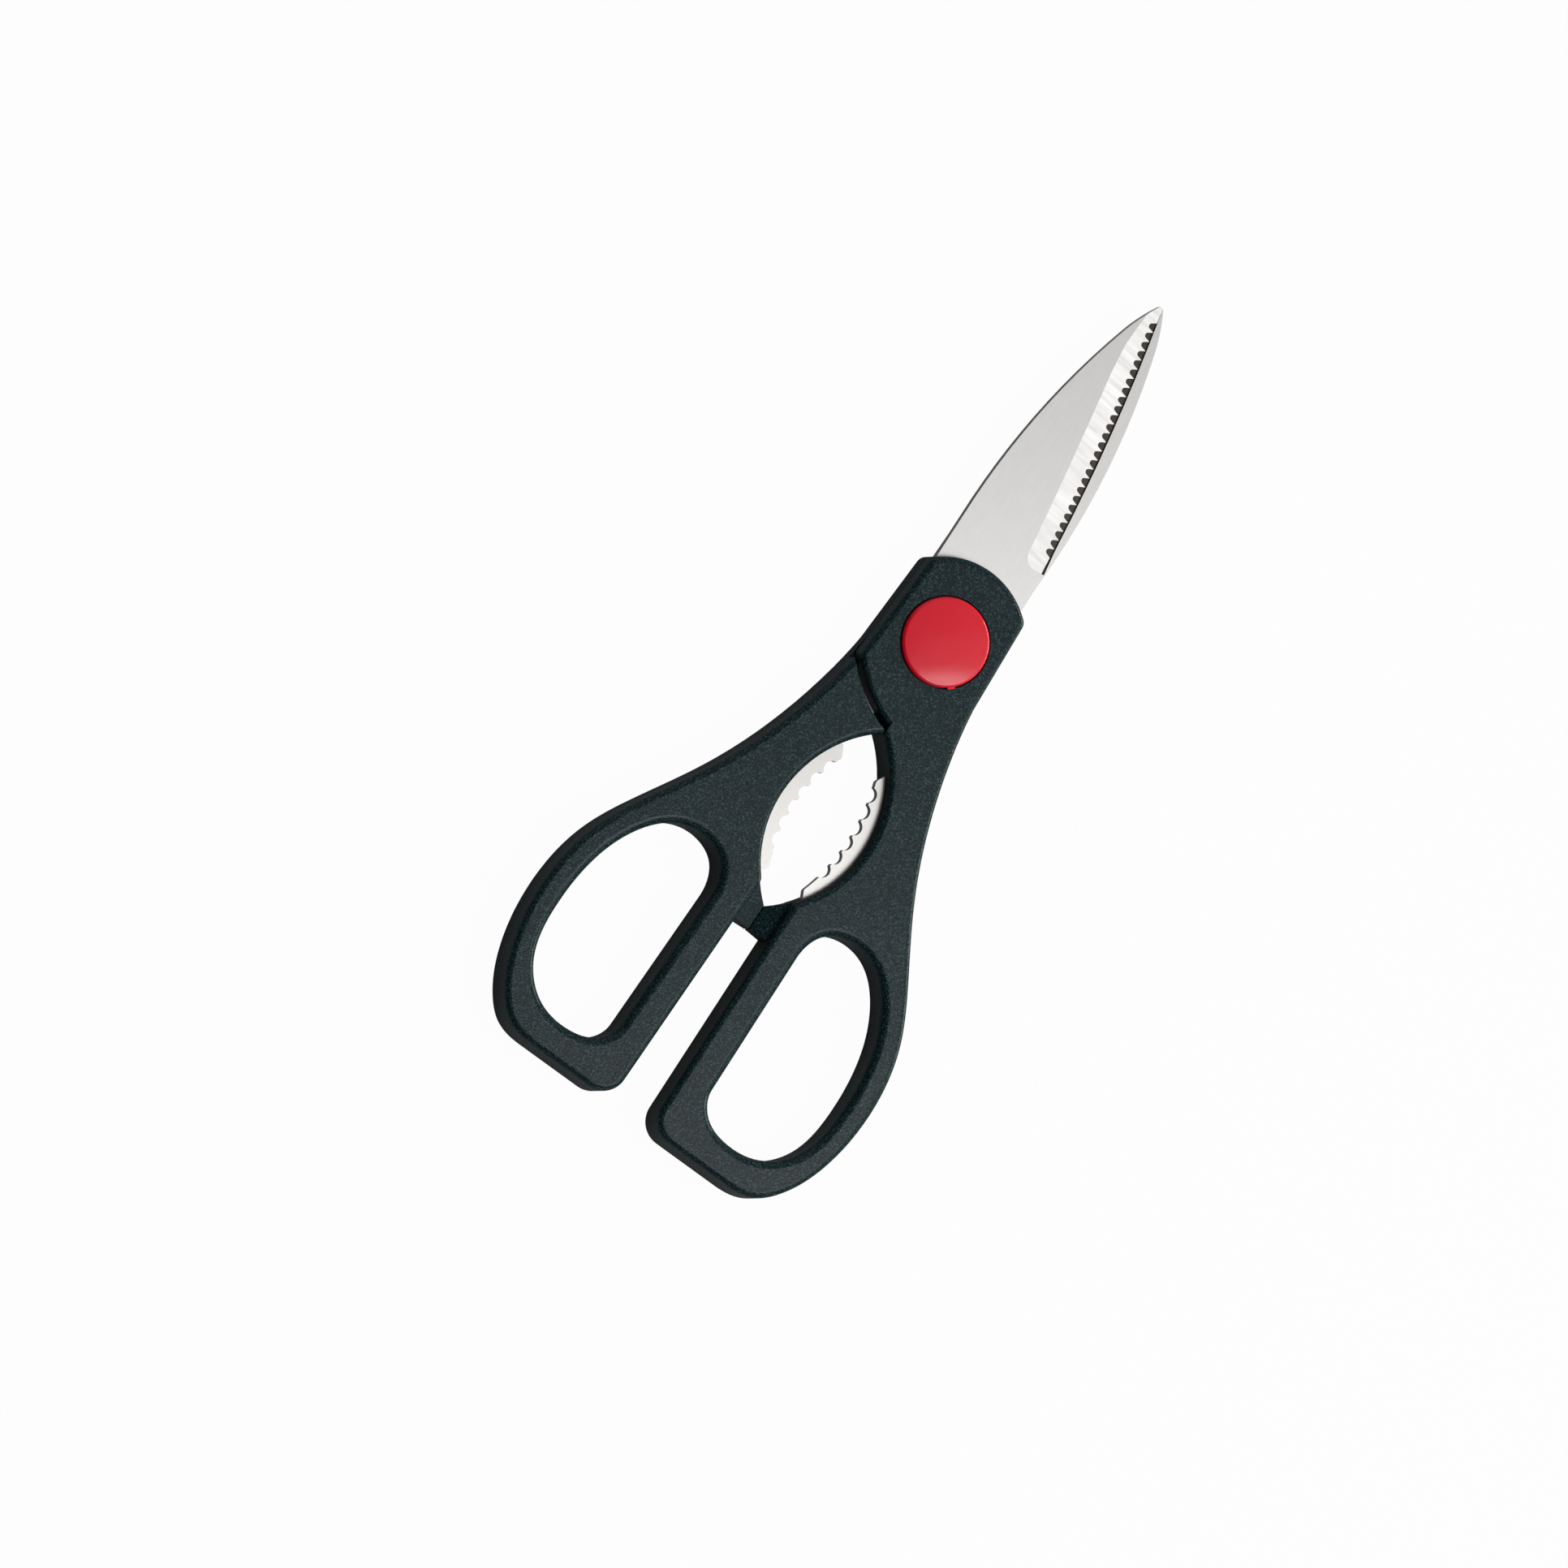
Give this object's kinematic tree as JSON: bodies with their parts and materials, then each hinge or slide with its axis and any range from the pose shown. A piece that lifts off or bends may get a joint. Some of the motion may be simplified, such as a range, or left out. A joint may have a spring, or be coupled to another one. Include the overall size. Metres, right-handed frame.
{
  "type": "kitchen shears",
  "caption": "Kitchen shears with a scalloped blade, a plain blade, moulded D-shaped finger loops and a toothed nutcracker gap between the shanks.",
  "frame": {"origin": "centre of the rear cap's flat face, where the pivot axis meets the plane that the shears lie on", "axes": "+Z along the pivot axis towards the front cap, +Y towards the blade tips, +X towards the finger loop of the upper handle"},
  "size_m": [0.0856, 0.2036, 0.0123],
  "materials": {
    "blade_steel": "ground and satin brushed stainless steel",
    "handle_plastic": "fine spark-eroded grain, matte",
    "pivot_steel": "turned steel",
    "cap_plastic": "satin gloss"
  },
  "bodies": {
    "lower_half": {"lower_handle": "handle_plastic", "plain_blade": "blade_steel", "pivot_nut": "pivot_steel", "pivot_screw": "pivot_steel", "spring_washer": "pivot_steel", "front_cap": "cap_plastic", "rear_cap": "cap_plastic"},
    "upper_half": {"upper_handle": "handle_plastic", "serrated_blade": "blade_steel"}
  },
  "joints": [
    {"name": "pivot_hinge", "type": "hinge", "parent": "lower_half", "child": "upper_half", "pos_m": [0, 0, 0.0055], "axis": [0, 0, 1], "range_deg": [0, 60]}
  ]
}
